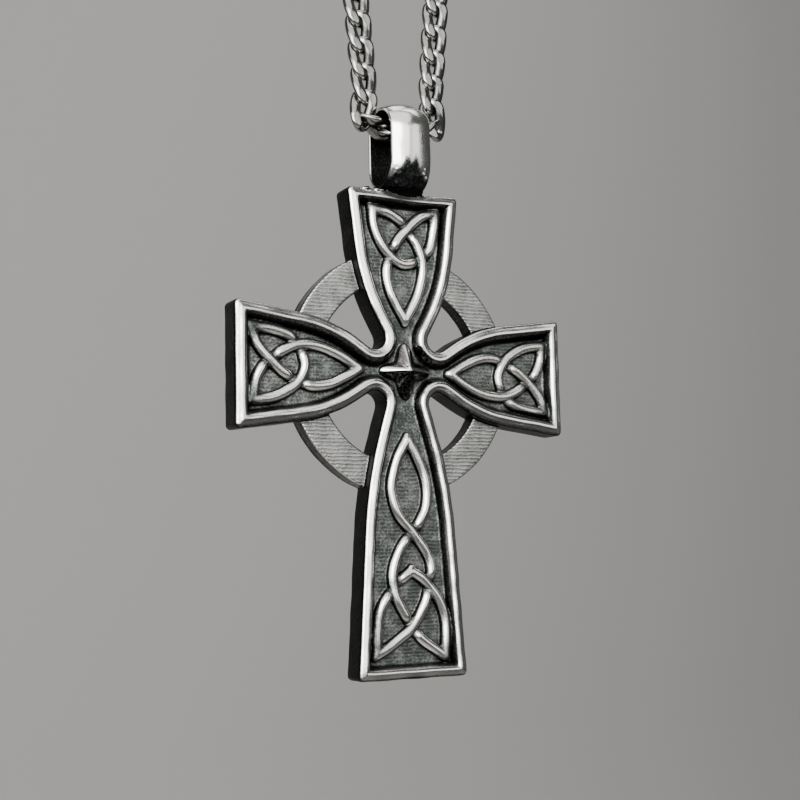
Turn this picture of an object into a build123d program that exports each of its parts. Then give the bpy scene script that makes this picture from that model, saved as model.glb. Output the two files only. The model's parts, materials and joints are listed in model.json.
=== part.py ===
from build123d import *
import os
from math import asin, atan2, cos, hypot, radians, sin, tan

# Celtic cross pendant of cast sterling silver on a curb chain, hanging free.
# The cross is drawn flat, with x to the right, y up and z towards the viewer,
# then stood upright: its front faces -Y and the loop of chain rises along +Z.
# The origin is at the inside of the chain's top, where the necklace hangs.

# Arms, measured from the crossing
UPPER_ARM = 14.75
SIDE_ARM = 14.75
LOWER_ARM = 24.35
UPPER_END = 10.2
SIDE_END = 10.0
LOWER_END = 9.65
END_CORNER_R = 0.38
NECK_HALF_WIDTH = 1.95
NECK_HALF_HEIGHT = 1.67
CROTCH_R = 0.92

# Thickness, from the flat back to the crest of the rim
FIELD_T = 1.75
RIM_H = 0.85
CREST_FORWARD = 0.8
BACK_CHAMFER = 0.4

# Rim, across its width
RIM_BEVEL_W = 0.45
RIM_BEVEL_H = 0.2
RIM_CREST_W = 0.25
RIM_SLOPE_W = 0.66

# Ring behind the arms
RING_R = 10.0
RING_W = 2.53
RING_T = 1.55

# Raised star at the crossing
STAR_REACH = 2.3
STAR_TIP_HALF = 0.26
STAR_WAIST = 0.92
STAR_H = 1.2
STAR_POINT = 0.12

# Raised knotwork
STRAND_R = 0.45
STRAND_RISE = 0.15
TIP_R = 0.46
DIVE_DEPTH = 0.5
DIVE_RUN = 0.95

# Bail, a domed band bent to an oval and soldered on the upper arm
BAIL_W = 3.7
BAIL_BORE_R = 1.85
BAIL_LEG = 2.55
BAIL_EDGE_T = 0.32
BAIL_DOME = 0.43
BAIL_CLEARANCE = 0.18
BAIL_SINK = 0.3

# Curb chain
LOOP_LENGTH = 457.0
WIRE_D = 0.56
PITCH = 2.2
LINK_W = 2.46
LINK_SLACK = 0.18
LINK_END_SHARE = 0.947
LINK_TWIST = -45.0
STRAND_LEAN = 4.9

# Plain barrel that joins the chain's two ends
CLASP_LENGTH = 5.6
CLASP_R = 1.35
CLASP_EDGE_R = 0.4
CLASP_GRIP = 0.2

CREST_Z = CREST_FORWARD
FIELD_Z = CREST_Z - RIM_H
BACK_Z = FIELD_Z - FIELD_T
CREST_INSET = RIM_BEVEL_W + RIM_CREST_W
FIELD_INSET = CREST_INSET + RIM_SLOPE_W
BAIL_OUTER_R = BAIL_BORE_R + BAIL_EDGE_T + BAIL_DOME
BAIL_FOOT_Y = UPPER_ARM - BAIL_SINK + BAIL_OUTER_R
BAIL_TOP_Y = BAIL_FOOT_Y + BAIL_LEG
CHAIN_REACH = 0.591 * PITCH
PIVOT_Y = BAIL_TOP_Y + BAIL_BORE_R - CHAIN_REACH - BAIL_CLEARANCE
LINK_MID_HALF = (LINK_W - WIRE_D) / 2
LINK_END_HALF = LINK_MID_HALF * LINK_END_SHARE
LINK_REACH = (PITCH + WIRE_D + LINK_SLACK) / 2
CLASP_LINK_X = CLASP_LENGTH / 2 - CLASP_GRIP

# Each arm: how far out it is and how wide it is where its flare turns the
# shoulder, as shares of its length and of half its end, the turn's radius, and
# how broad its rim is, as a share of the rim's width above
ARMS = [
    # name, length, end width, shoulder out, shoulder half, shoulder radius, rim
    ("upper", UPPER_ARM, UPPER_END, 0.462, 0.816, 16.0, 1.0),
    ("side", SIDE_ARM, SIDE_END, 0.438, 0.768, 12.0, 1.06),
    ("lower", LOWER_ARM, LOWER_END, 0.368, 0.788, 36.0, 0.9),
]

# Knot of the upper and side arms, as seen on the upper arm. Across is a share
# of half the arm's end, along a share of its length. Each strand goes from a
# pointed tip, or from under another strand, to the next.
TRIQUETRA = [
    # start, finish, points (across, along)
    ("tip", "under", [(-0.54, 0.895), (-0.25, 0.878), (-0.02, 0.836), (0.085, 0.793)]),
    ("under", "tip", [(0.085, 0.793), (0.25, 0.715), (0.345, 0.627), (0.333, 0.515),
                      (0.215, 0.4), (0.01, 0.281)]),
    ("tip", "under", [(0.6, 0.902), (0.345, 0.871), (0.12, 0.807), (-0.08, 0.729),
                      (-0.216, 0.647)]),
    ("under", "tip", [(-0.216, 0.647), (-0.295, 0.556), (-0.255, 0.454), (-0.127, 0.359),
                      (0.01, 0.281)]),
    ("tip", "under", [(-0.54, 0.895), (-0.51, 0.8), (-0.405, 0.712), (-0.23, 0.637),
                      (0.02, 0.597), (0.337, 0.627)]),
    ("under", "tip", [(0.337, 0.627), (0.48, 0.69), (0.56, 0.787), (0.6, 0.902)]),
]

# Knot of the lower arm, a long twist that ends in a trefoil
LONG_KNOT = [
    # start, finish, points (across, along)
    ("tip", "under", [(0.0, 0.224), (-0.197, 0.293), (-0.311, 0.382), (-0.2, 0.468),
                      (0.072, 0.532), (0.32, 0.596), (0.404, 0.65), (0.355, 0.7)]),
    ("under", "tip", [(0.355, 0.7), (0.26, 0.764), (0.02, 0.834), (-0.3, 0.883),
                      (-0.64, 0.92)]),
    ("tip", "under", [(0.0, 0.224), (0.197, 0.291), (0.342, 0.37), (0.33, 0.444),
                      (0.197, 0.497), (0.062, 0.53)]),
    ("under", "under", [(0.062, 0.53), (-0.155, 0.579), (-0.311, 0.653), (-0.28, 0.727),
                        (-0.125, 0.789), (0.02, 0.834)]),
    ("under", "tip", [(0.02, 0.834), (0.2, 0.875), (0.435, 0.908), (0.62, 0.934)]),
    ("tip", "under", [(-0.64, 0.92), (-0.622, 0.846), (-0.54, 0.772), (-0.3, 0.706)]),
    ("under", "tip", [(-0.28, 0.703), (-0.125, 0.676), (0.03, 0.655)]),
    ("tip", "tip", [(0.03, 0.655), (0.25, 0.684), (0.518, 0.747), (0.653, 0.83),
                    (0.62, 0.934)]),
]

# The chain's way through the bail: the link inside it and the three to its right,
# each from the bail's pivot in shares of the pitch. The left side is the right
# side turned half round the upright line, and so is each strand above it.
BAIL_LINKS = [
    # right, back, up, lean from upright, roll about its length
    (0.0, 0.0, -0.072, 90.0, 90.0),
    (0.949, -0.072, 0.143, 64.9, -79.0),
    (1.498, 0.0, 0.655, -11.8, 0.0),
    (1.413, 0.0, 1.633, 4.9, 7.2),
]
STRAND_START = (1.498, 2.629)


def meet(p, direction_p, q, direction_q):
    """Where two lines of the plane cross."""
    cross = direction_p[0] * direction_q[1] - direction_p[1] * direction_q[0]
    along = ((q[0] - p[0]) * direction_q[1] - (q[1] - p[1]) * direction_q[0]) / cross
    return (p[0] + direction_p[0] * along, p[1] + direction_p[1] * along)


def unit(p, q):
    """Direction from one point of the plane to another."""
    size = hypot(q[0] - p[0], q[1] - p[1])
    return ((q[0] - p[0]) / size, (q[1] - p[1]) / size)


def flare_direction(shoulder, centre, side):
    """Direction from a shoulder to the crotch circle that it is tangent to."""
    to_centre = atan2(centre[1] - shoulder[1], centre[0] - shoulder[0])
    lean = asin(CROTCH_R / hypot(centre[0] - shoulder[0], centre[1] - shoulder[1]))
    return (cos(to_centre + side * lean), sin(to_centre + side * lean))


def quarter(upright, crossbar):
    """Corners of the outline from an upright arm's end round to a side arm's end."""
    _, out_u, end_u, along_u, half_u, radius_u, _ = upright
    _, out_s, end_s, along_s, half_s, radius_s, _ = crossbar
    shoulder_u = (half_u * end_u / 2, along_u * out_u)
    shoulder_s = (along_s * out_s, half_s * end_s / 2)
    centre = (NECK_HALF_WIDTH + CROTCH_R, NECK_HALF_HEIGHT + CROTCH_R)
    crotch = meet(shoulder_u, flare_direction(shoulder_u, centre, -1),
                  shoulder_s, flare_direction(shoulder_s, centre, 1))
    return [
        ((end_u / 2, out_u), END_CORNER_R, 1),
        (shoulder_u, radius_u, 1),
        (crotch, CROTCH_R, -1),
        (shoulder_s, radius_s, 1),
        ((out_s, end_s / 2), END_CORNER_R, 1),
    ]


def cross_outline(inset):
    """Outline of the cross, drawn in by an inset times each arm's rim share."""
    upper, side, lower = ARMS
    above, below = quarter(upper, side), quarter(lower, side)
    corners = list(above)
    corners += [((x, -y), r, bulge) for (x, y), r, bulge in reversed(below)]
    corners += [((-x, -y), r, bulge) for (x, y), r, bulge in below]
    corners += [((-x, y), r, bulge) for (x, y), r, bulge in reversed(above)]
    insets = []
    for first, second in ((upper, side), (side, lower), (lower, side), (side, upper)):
        insets += [inset * first[-1]] * 2 + [inset * second[-1]] * 3
    count = len(corners)
    moved, radii = [], []
    for i in range(count):
        before, here, after = corners[i - 1][0], corners[i][0], corners[(i + 1) % count][0]
        along_in, along_out = unit(before, here), unit(here, after)
        before_in, after_in = insets[i - 1], insets[i]
        shift_in = (here[0] + along_in[1] * before_in, here[1] - along_in[0] * before_in)
        shift_out = (here[0] + along_out[1] * after_in, here[1] - along_out[0] * after_in)
        moved.append(meet(shift_in, along_in, shift_out, along_out))
        _, radius, bulge = corners[i]
        radii.append(max(radius - bulge * (before_in + after_in) / 2, 0))
    return make_face(FilletPolyline(*moved, radius=radii, close=True))


def stepped(lower_inset, lower_z, upper_inset, upper_z):
    """Solid between two insets of the outline at two heights."""
    faces = [Pos(0, 0, lower_z) * cross_outline(lower_inset),
             Pos(0, 0, upper_z) * cross_outline(upper_inset)]
    return loft(faces, ruled=True)


def joined(pieces):
    """One solid from pieces that overlap, taken in one after another."""
    whole = pieces[0]
    for piece in pieces[1:]:
        whole = whole + piece
    return whole


def cross_body():
    """Flat-backed slab with a raised, bevelled rim round a sunk field."""
    wall_low, wall_high = BACK_Z + BACK_CHAMFER, CREST_Z - RIM_BEVEL_H
    chamfer = stepped(BACK_CHAMFER, BACK_Z, 0, wall_low)
    slab = extrude(Pos(0, 0, wall_low) * cross_outline(0), wall_high - wall_low)
    bevel = stepped(0, wall_high, RIM_BEVEL_W, CREST_Z)
    sunk = stepped(FIELD_INSET, FIELD_Z, CREST_INSET, CREST_Z)
    return chamfer + slab + bevel - sunk


def ring():
    """Plain flat ring, flush with the back."""
    band = Circle(RING_R) - Circle(RING_R - RING_W)
    return extrude(Pos(0, 0, BACK_Z) * band, RING_T)


def star():
    """Four-pointed pyramid with blunt ridges to its points and valleys between."""
    corners = []
    for out_x, out_y in ((1, 0), (0, 1), (-1, 0), (0, -1)):
        for reach, side in ((STAR_REACH, -STAR_TIP_HALF), (STAR_REACH, STAR_TIP_HALF),
                            (STAR_WAIST, STAR_WAIST)):
            corners.append((reach * out_x - side * out_y, reach * out_y + side * out_x))
    foot = Polyline(*corners, close=True)
    share = STAR_POINT / STAR_REACH
    point = Polyline(*[(x * share, y * share) for x, y in corners], close=True)
    levels = [Pos(0, 0, FIELD_Z - STAR_POINT) * make_face(foot),
              Pos(0, 0, FIELD_Z + STAR_H) * make_face(point)]
    return loft(levels, ruled=True)


def rounded_path(points, closed=False):
    """Straight runs joined by tangent arcs as large as the runs allow."""
    points = [Vector(*p) for p in points]
    count = len(points)
    inner = range(count) if closed else range(1, count - 1)
    radii = []
    for i in inner:
        back = points[i - 1] - points[i]
        ahead = points[(i + 1) % count] - points[i]
        turn = 180 - back.get_angle(ahead)
        radii.append(0.45 * min(back.length, ahead.length) / tan(radians(turn / 2)))
    if not radii:
        return Line(*points)
    return FilletPolyline(*points, radius=radii, close=closed)


def strand(start, finish, points):
    """One stretch of raised strand, which dives into the field where it goes under."""
    level = FIELD_Z + STRAND_RISE
    route = [(x, y, level) for x, y in points]
    for kind, end, beside in (("start", 0, 1), ("finish", -1, -2)):
        if (start if kind == "start" else finish) != "under":
            continue
        x, y = points[end]
        towards = unit(points[end], points[beside])
        gap = hypot(points[beside][0] - x, points[beside][1] - y)
        run = min(DIVE_RUN, 0.6 * gap)
        lip = (x + towards[0] * run, y + towards[1] * run, level)
        sunk = (x, y, level - DIVE_DEPTH)
        route = [sunk, lip] + route[1:] if end == 0 else route[:-1] + [lip, sunk]
    path = rounded_path(route)
    profile = Plane(origin=path @ 0, z_dir=path % 0) * Circle(STRAND_R)
    return sweep(profile, path=path)


def knot(table, half_end, length, place):
    """All strands of one arm's knot, with a rounded knob at each pointed tip."""
    pieces, tips = [], []
    for start, finish, shares in table:
        points = [place(across * half_end, along * length) for across, along in shares]
        pieces.append(strand(start, finish, points))
        ends = ((start, points[0]), (finish, points[-1]))
        tips += [p for kind, p in ends if kind == "tip" and p not in tips]
    pieces += [Pos(x, y, FIELD_Z + STRAND_RISE) * Sphere(TIP_R) for x, y in tips]
    return pieces


def bail():
    """Domed band round a long oval hollow, with its foot sunk in the upper arm."""
    edge_r = BAIL_BORE_R + BAIL_EDGE_T
    outline = [
        Line((-BAIL_W / 2, BAIL_BORE_R), (BAIL_W / 2, BAIL_BORE_R)),
        Line((BAIL_W / 2, BAIL_BORE_R), (BAIL_W / 2, edge_r)),
        ThreePointArc((BAIL_W / 2, edge_r), (0, BAIL_OUTER_R), (-BAIL_W / 2, edge_r)),
        Line((-BAIL_W / 2, edge_r), (-BAIL_W / 2, BAIL_BORE_R)),
    ]
    section = Face(Wire(outline))
    upright_section = Plane.XZ * section
    top = revolve(Pos(0, BAIL_TOP_Y, 0) * upright_section,
                  Axis((0, BAIL_TOP_Y, 0), (1, 0, 0)), -180)
    foot = revolve(Pos(0, BAIL_FOOT_Y, 0) * upright_section,
                   Axis((0, BAIL_FOOT_Y, 0), (1, 0, 0)), 180)
    front = extrude(Pos(0, BAIL_FOOT_Y, 0) * upright_section, BAIL_LEG, dir=(0, 1, 0))
    return joined([top, front, foot, mirror(front, Plane.XY)])


def cross_pendant():
    """The casting and its soldered bail, one piece of metal."""
    sides = [
        (TRIQUETRA, UPPER_END / 2, UPPER_ARM, lambda a, b: (a, b)),
        (TRIQUETRA, SIDE_END / 2, SIDE_ARM, lambda a, b: (-b, a)),
        (TRIQUETRA, SIDE_END / 2, SIDE_ARM, lambda a, b: (b, -a)),
        (LONG_KNOT, LOWER_END / 2, LOWER_ARM, lambda a, b: (a, -b)),
    ]
    relief = [star()]
    for table, half_end, length, place in sides:
        relief += knot(table, half_end, length, place)
    return joined([cross_body()] + relief + [ring(), bail()])


def curb_link():
    """One link: wire bent to a ring and twisted, so that the chain lies flat."""
    turn = radians(LINK_TWIST)
    across, back = LINK_END_HALF * cos(turn), LINK_END_HALF * sin(turn)
    corners = [
        (LINK_MID_HALF, 0, 0),
        (across, back, LINK_REACH),
        (-across, -back, LINK_REACH),
        (-LINK_MID_HALF, 0, 0),
        (-across, back, -LINK_REACH),
        (across, -back, -LINK_REACH),
    ]
    runs = []
    for edge in rounded_path(corners, closed=True).edges():
        profile = Plane(origin=edge @ 0, z_dir=edge % 0) * Circle(WIRE_D / 2)
        runs.append(sweep(profile, path=edge))
    return joined(runs)


def follow(x, z, lean, turns):
    """Poses of links joined end to end, each turned from the one before."""
    poses = []
    for turn in turns:
        x += PITCH / 2 * sin(radians(lean))
        z += PITCH / 2 * cos(radians(lean))
        lean -= turn
        x += PITCH / 2 * sin(radians(lean))
        z += PITCH / 2 * cos(radians(lean))
        poses.append((x, z, lean))
    return poses


def joint_after(pose):
    """Where the next link's pivot lies past a link."""
    x, z, lean = pose
    return (x + PITCH / 2 * sin(radians(lean)), z + PITCH / 2 * cos(radians(lean)))


def right_side():
    """Poses of the right strand from the bail to the clasp, seen from the pivot."""
    start = (STRAND_START[0] * PITCH, STRAND_START[1] * PITCH, STRAND_LEAN)
    clasp_joint = CLASP_LINK_X + PITCH / 2
    count = 1
    while True:
        straight = [start] + follow(*start, [0.0] * count)
        top_x = joint_after(straight[-1])[0]
        bend_r = (top_x - clasp_joint) / cos(radians(STRAND_LEAN))
        bend = max(1, round(bend_r * radians(90 + STRAND_LEAN) / PITCH))
        half = (len(BAIL_LINKS) + len(straight) + bend - 0.5) * PITCH + clasp_joint
        if 2 * half > LOOP_LENGTH:
            break
        count += 1
    low, high = 0.0, 2 * (90 + STRAND_LEAN) / bend
    for _ in range(40):
        step = (low + high) / 2
        arc = follow(*straight[-1], [step] * bend)
        if joint_after(arc[-1])[0] > clasp_joint:
            low = step
        else:
            high = step
    return straight + arc


def curb_chain(pivot_z, strand_poses):
    """All loose links of the chain, as one compound of separate solids."""
    link = curb_link()
    places = []
    for x, y, z, lean, roll in BAIL_LINKS:
        spot = Pos(x * PITCH, y * PITCH, pivot_z + z * PITCH)
        places.append(spot * Rot(Y=lean) * Rot(Z=roll))
    for x, z, lean in strand_poses:
        places.append(Pos(x, 0, pivot_z + z) * Rot(Y=lean))
    places += [Rot(Z=180) * place for place in places[1:]]
    return Compound(children=[place * link for place in places])


def clasp():
    """Plain barrel with an end link soldered in at each side."""
    barrel = Cylinder(CLASP_R, CLASP_LENGTH, rotation=(0, 90, 0))
    barrel = fillet(barrel.edges().filter_by(GeomType.CIRCLE), CLASP_EDGE_R)
    end_link = Rot(Y=90) * curb_link()
    ends = [Pos(CLASP_LINK_X, 0, 0) * end_link, Pos(-CLASP_LINK_X, 0, 0) * end_link]
    return Pos(0, 0, CLASP_R) * joined([barrel] + ends)


def build():
    """All nodes in the shared frame, by name."""
    strand_poses = right_side()
    drop = joint_after(strand_poses[-1])[1] - CLASP_R
    hang = Pos(0, 0, -drop - PIVOT_Y) * Rot(X=90)
    print("links", 2 * (len(strand_poses) + len(BAIL_LINKS)) - 1, "pivot below the origin", round(drop, 4))
    print("last joint turns", round(90 + strand_poses[-1][2], 2), "degrees")
    return {
        "cross_pendant": hang * cross_pendant(),
        "curb_chain": curb_chain(-drop, strand_poses),
        "clasp": clasp(),
    }


os.makedirs("parts", exist_ok=True)
for node, shape in build().items():
    print(node, len(shape.solids()), "solids", round(shape.volume, 2), "mm3")
    export_step(shape, f"parts/{node}.step")
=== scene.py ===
# %% [markdown]
# # A cast silver cross on a curb chain
# The real pendant is a small sterling casting, dipped in liver of sulphur until it went dark and
# then polished again wherever a buffing wheel can reach. The sunk field keeps its dark patina,
# and the rim, the knotwork, the star and the bail are bright. The CAD model gives every place
# and size, so the first step is to load it as a fixed frame and to note its outer box.

# %% Load the frame
import json
import math
import random

import bpy
import numpy as np
from mathutils import Matrix, Vector


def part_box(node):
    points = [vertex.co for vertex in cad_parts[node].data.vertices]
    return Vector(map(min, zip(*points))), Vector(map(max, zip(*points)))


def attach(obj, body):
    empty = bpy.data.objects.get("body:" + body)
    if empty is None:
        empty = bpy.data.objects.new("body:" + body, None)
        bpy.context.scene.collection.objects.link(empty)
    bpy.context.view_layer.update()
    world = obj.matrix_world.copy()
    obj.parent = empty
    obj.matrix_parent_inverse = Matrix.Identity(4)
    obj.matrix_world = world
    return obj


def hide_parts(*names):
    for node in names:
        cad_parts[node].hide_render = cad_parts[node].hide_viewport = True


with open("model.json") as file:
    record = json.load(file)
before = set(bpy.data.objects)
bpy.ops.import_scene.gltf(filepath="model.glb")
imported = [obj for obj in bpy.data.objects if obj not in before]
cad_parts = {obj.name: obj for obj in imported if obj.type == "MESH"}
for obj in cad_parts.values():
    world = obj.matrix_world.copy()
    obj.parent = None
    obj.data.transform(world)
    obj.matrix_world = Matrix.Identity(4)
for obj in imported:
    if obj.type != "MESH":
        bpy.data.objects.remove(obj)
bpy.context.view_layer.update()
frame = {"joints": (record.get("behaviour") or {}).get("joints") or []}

MM = 0.001
pivot = Vector(frame["joints"][0]["pos_m"])
print("bail pivot at", [round(c, 5) for c in pivot])

# %% [markdown]
# ## Where the cross lies
# The cross is easiest to draw flat, in millimetres: x to the right, y up, z towards the viewer,
# with 0 at the crossing of the arms. Standing it up turns z into the front, which faces -Y.
# The same few sizes that made the solid are named here once.

# %% Sizes of the cross, in millimetres
UPPER_ARM, SIDE_ARM, LOWER_ARM = 14.75, 14.75, 24.35
UPPER_END, SIDE_END, LOWER_END = 10.2, 10.0, 9.65
END_CORNER_R = 0.38
NECK_HALF = (1.95, 1.67)
CROTCH_R = 0.92
BACK_Z, FIELD_Z, CREST_Z = -1.8, -0.05, 0.8
BACK_CHAMFER = 0.4
FIELD_INSET = 1.36
RING_OUTER_R, RING_W, RING_FACE_Z = 10.0, 2.53, -0.25
ARMS = {
    # name: length, end width, shoulder out, shoulder half (shares), shoulder radius, rim share
    "upper": (UPPER_ARM, UPPER_END, 0.462, 0.816, 16.0, 1.0),
    "side": (SIDE_ARM, SIDE_END, 0.438, 0.768, 12.0, 1.06),
    "lower": (LOWER_ARM, LOWER_END, 0.368, 0.788, 36.0, 0.9),
}
crossing = Vector((0, 0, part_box("cross_pendant")[0].z / MM + LOWER_ARM))


def stand_up(points):
    """Flat points, as an array in millimetres, to the row's frame in metres."""
    points = np.asarray(points, float)
    upright = np.stack([points[:, 0], -points[:, 2], points[:, 1]], axis=1)
    return (upright + np.array(crossing)) * MM


print("crossing of the arms at", [round(c * MM, 5) for c in crossing])

# %% [markdown]
# ## Soup of closed pieces
# A casting has no seams: rim, field, knots and ring run into one another with a small round at
# every foot. Fusing one closed shell per part with a fine voxel remesh gives just that, where
# booleans would leave hard creases. The shells are gathered as plain lists first.

# %% Gather shells
def new_soup():
    """An empty list of points and faces that shells are added to."""
    return {"points": [], "faces": []}


def add_rings(soup, rings, tyre=False):
    """Adds a shell of rings with as many points each, closed by its two ends or like a tyre."""
    count, levels, start = len(rings[0]), len(rings), len(soup["points"])
    faces = [] if tyre else [range(count)[::-1]]
    for level in range(levels if tyre else levels - 1):
        low, high = level * count, (level + 1) % levels * count
        for i in range(count):
            j = (i + 1) % count
            faces.append((low + i, low + j, high + j, high + i))
    if not tyre:
        faces.append(range((levels - 1) * count, levels * count))
    soup["points"].extend(tuple(map(float, p)) for ring in rings for p in ring)
    soup["faces"].extend(tuple(start + i for i in face) for face in faces)


def full_turn(steps):
    """Even angles round a full turn."""
    return np.linspace(0, 2 * math.pi, steps, endpoint=False)


def add_ball(soup, centre, radii, rings=8):
    """Adds a ball or an egg."""
    levels = []
    for i in range(1, rings):
        tilt = math.pi * (i / rings - 0.5)
        levels.append([
            (centre[0] + radii[0] * math.cos(tilt) * math.cos(t),
             centre[1] + radii[1] * math.cos(tilt) * math.sin(t),
             centre[2] + radii[2] * math.sin(tilt))
            for t in full_turn(2 * rings)])
    add_rings(soup, levels)


cross = new_soup()
print("the cross starts as an empty soup")

# %% [markdown]
# ## Outline of the arms
# The four arms flare from a narrow neck, turn a soft shoulder and run on nearly straight to a
# square end. Each quarter is three points and one circle, so the outline is worked out, not
# traced. Drawing it again at an inset moves each edge inward, by a little more on the side
# arms, whose rim is broader, and a little less on the lower arm.

# %% Find the corners of a quarter
def unit(p, q):
    """Direction from one point of the plane to another."""
    size = math.hypot(q[0] - p[0], q[1] - p[1])
    return ((q[0] - p[0]) / size, (q[1] - p[1]) / size)


def meet(p, a, q, b):
    """Where the line through p along a crosses the line through q along b."""
    along = ((q[0] - p[0]) * b[1] - (q[1] - p[1]) * b[0]) / (a[0] * b[1] - a[1] * b[0])
    return (p[0] + a[0] * along, p[1] + a[1] * along)


def tangent_to_crotch(shoulder, centre, side):
    """Direction from a shoulder that just touches the crotch circle."""
    gap = (centre[0] - shoulder[0], centre[1] - shoulder[1])
    turn = math.atan2(gap[1], gap[0]) + side * math.asin(CROTCH_R / math.hypot(*gap))
    return (math.cos(turn), math.sin(turn))


def quarter(upright, crossbar):
    """Corners (point, radius, 1 or -1 for a hollow) from an upright arm's end to a side arm's."""
    long_u, end_u, out_u, half_u, radius_u, _ = upright
    long_s, end_s, out_s, half_s, radius_s, _ = crossbar
    shoulder_u = (half_u * end_u / 2, out_u * long_u)
    shoulder_s = (out_s * long_s, half_s * end_s / 2)
    centre = (NECK_HALF[0] + CROTCH_R, NECK_HALF[1] + CROTCH_R)
    crotch = meet(shoulder_u, tangent_to_crotch(shoulder_u, centre, -1),
                  shoulder_s, tangent_to_crotch(shoulder_s, centre, 1))
    return [((end_u / 2, long_u), END_CORNER_R, 1), (shoulder_u, radius_u, 1),
            (crotch, CROTCH_R, -1), (shoulder_s, radius_s, 1),
            ((long_s, end_s / 2), END_CORNER_R, 1)]


print("arms meet at", [round(c, 2) for c in quarter(ARMS["upper"], ARMS["side"])[2][0]])

# %% [markdown]
# Four mirrored quarters make the round. At an inset each corner moves to where its two shifted
# edges meet, and an arc of as many points rounds it, so two insets join point by point.

# %% Work out the outline
ARC_STEPS, LEAST_R = 10, 0.01


def arc(corner, run, turn, radius):
    """Points that round a corner, reached along a run and turning by an angle."""
    reach = radius * math.tan(abs(turn) / 2)
    start = (corner[0] - run[0] * reach, corner[1] - run[1] * reach)
    hand = 1 if turn > 0 else -1
    hub = (start[0] - hand * run[1] * radius, start[1] + hand * run[0] * radius)
    dx, dy = start[0] - hub[0], start[1] - hub[1]
    return [(hub[0] + dx * math.cos(t) - dy * math.sin(t),
             hub[1] + dx * math.sin(t) + dy * math.cos(t))
            for t in (turn * k / ARC_STEPS for k in range(ARC_STEPS + 1))]


def outline(inset):
    """Points round the cross at an inset, always as many and in the same order."""
    upper, side, lower = ARMS["upper"], ARMS["side"], ARMS["lower"]
    above, below = quarter(upper, side), quarter(lower, side)
    corners = list(above)
    corners += [((x, -y), r, b) for (x, y), r, b in reversed(below)]
    corners += [((-x, -y), r, b) for (x, y), r, b in below]
    corners += [((-x, y), r, b) for (x, y), r, b in reversed(above)]
    insets = []
    for first, second in ((upper, side), (side, lower), (lower, side), (side, upper)):
        insets += [inset * first[-1]] * 2 + [inset * second[-1]] * 3
    points = []
    for i, (here, radius, bulge) in enumerate(corners):
        a = unit(corners[i - 1][0], here)
        b = unit(here, corners[(i + 1) % len(corners)][0])
        before, after = insets[i - 1], insets[i]
        corner = meet((here[0] + a[1] * before, here[1] - a[0] * before), a,
                      (here[0] + b[1] * after, here[1] - b[0] * after), b)
        turn = math.atan2(a[0] * b[1] - a[1] * b[0], a[0] * b[0] + a[1] * b[1])
        points += arc(corner, a, turn, max(radius - bulge * (before + after) / 2, LEAST_R))
    return points


print("outline has", len(outline(0)), "points")

# %% [markdown]
# ## Slab and rim
# In section the rim is a bead: it comes up the outer wall to a rounded shoulder, rises a little
# more to a crest worn soft by the wheel, and falls ever more steeply to the field. Each row of
# the table is an inset and a height, and a ring of the outline is drawn for each.

# %% Build slab and rim
RIM_SECTION = [
    # inset, height
    (BACK_CHAMFER, BACK_Z), (0.17, BACK_Z + 0.07), (0.04, BACK_Z + 0.22),
    (0.0, BACK_Z + BACK_CHAMFER), (0.0, CREST_Z - 0.36), (0.03, CREST_Z - 0.24),
    (0.11, CREST_Z - 0.14), (0.22, CREST_Z - 0.09), (0.36, CREST_Z - 0.07),
    (0.48, CREST_Z - 0.03), (0.6, CREST_Z), (0.74, CREST_Z - 0.03),
    (0.88, CREST_Z - 0.12), (1.0, CREST_Z - 0.28), (1.1, CREST_Z - 0.5),
    (1.2, FIELD_Z + 0.1), (FIELD_INSET, FIELD_Z),
]
add_rings(cross, [[(x, y, z) for x, y in reversed(outline(inset))] for inset, z in RIM_SECTION])
print("rim is", len(RIM_SECTION), "rings of the outline")

# %% [markdown]
# ## Ring behind the arms
# The ring is a flat washer, flush with the back, whose face lies just below the field. Its
# edges are barely broken, so its section is a rectangle with small chamfers, turned in a circle.

# %% Build the ring
RING_EDGE, RING_STEPS = 0.1, 120
near, far = RING_OUTER_R - RING_W, RING_OUTER_R
low, high = BACK_Z, RING_FACE_Z
ring_section = [
    # radius, height
    (near, low + RING_EDGE), (near + RING_EDGE, low), (far - RING_EDGE, low),
    (far, low + RING_EDGE), (far, high - RING_EDGE), (far - RING_EDGE, high),
    (near + RING_EDGE, high), (near, high - RING_EDGE),
]
add_rings(cross, [[(r * math.cos(t), r * math.sin(t), z) for r, z in ring_section]
                  for t in full_turn(RING_STEPS)], tyre=True)
print("ring from", near, "to", far, "mm")

# %% [markdown]
# ## Knotwork
# Each arm carries a knot of round strand. A strand runs over one crossing and under the next,
# and where it goes under, it sinks into the field just before the crossing. So each knot is a
# table of stretches, from a pointed tip or an "under" to the next, with points as
# shares of the arm. A smooth curve goes through the points and a tube is drawn along it.

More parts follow.
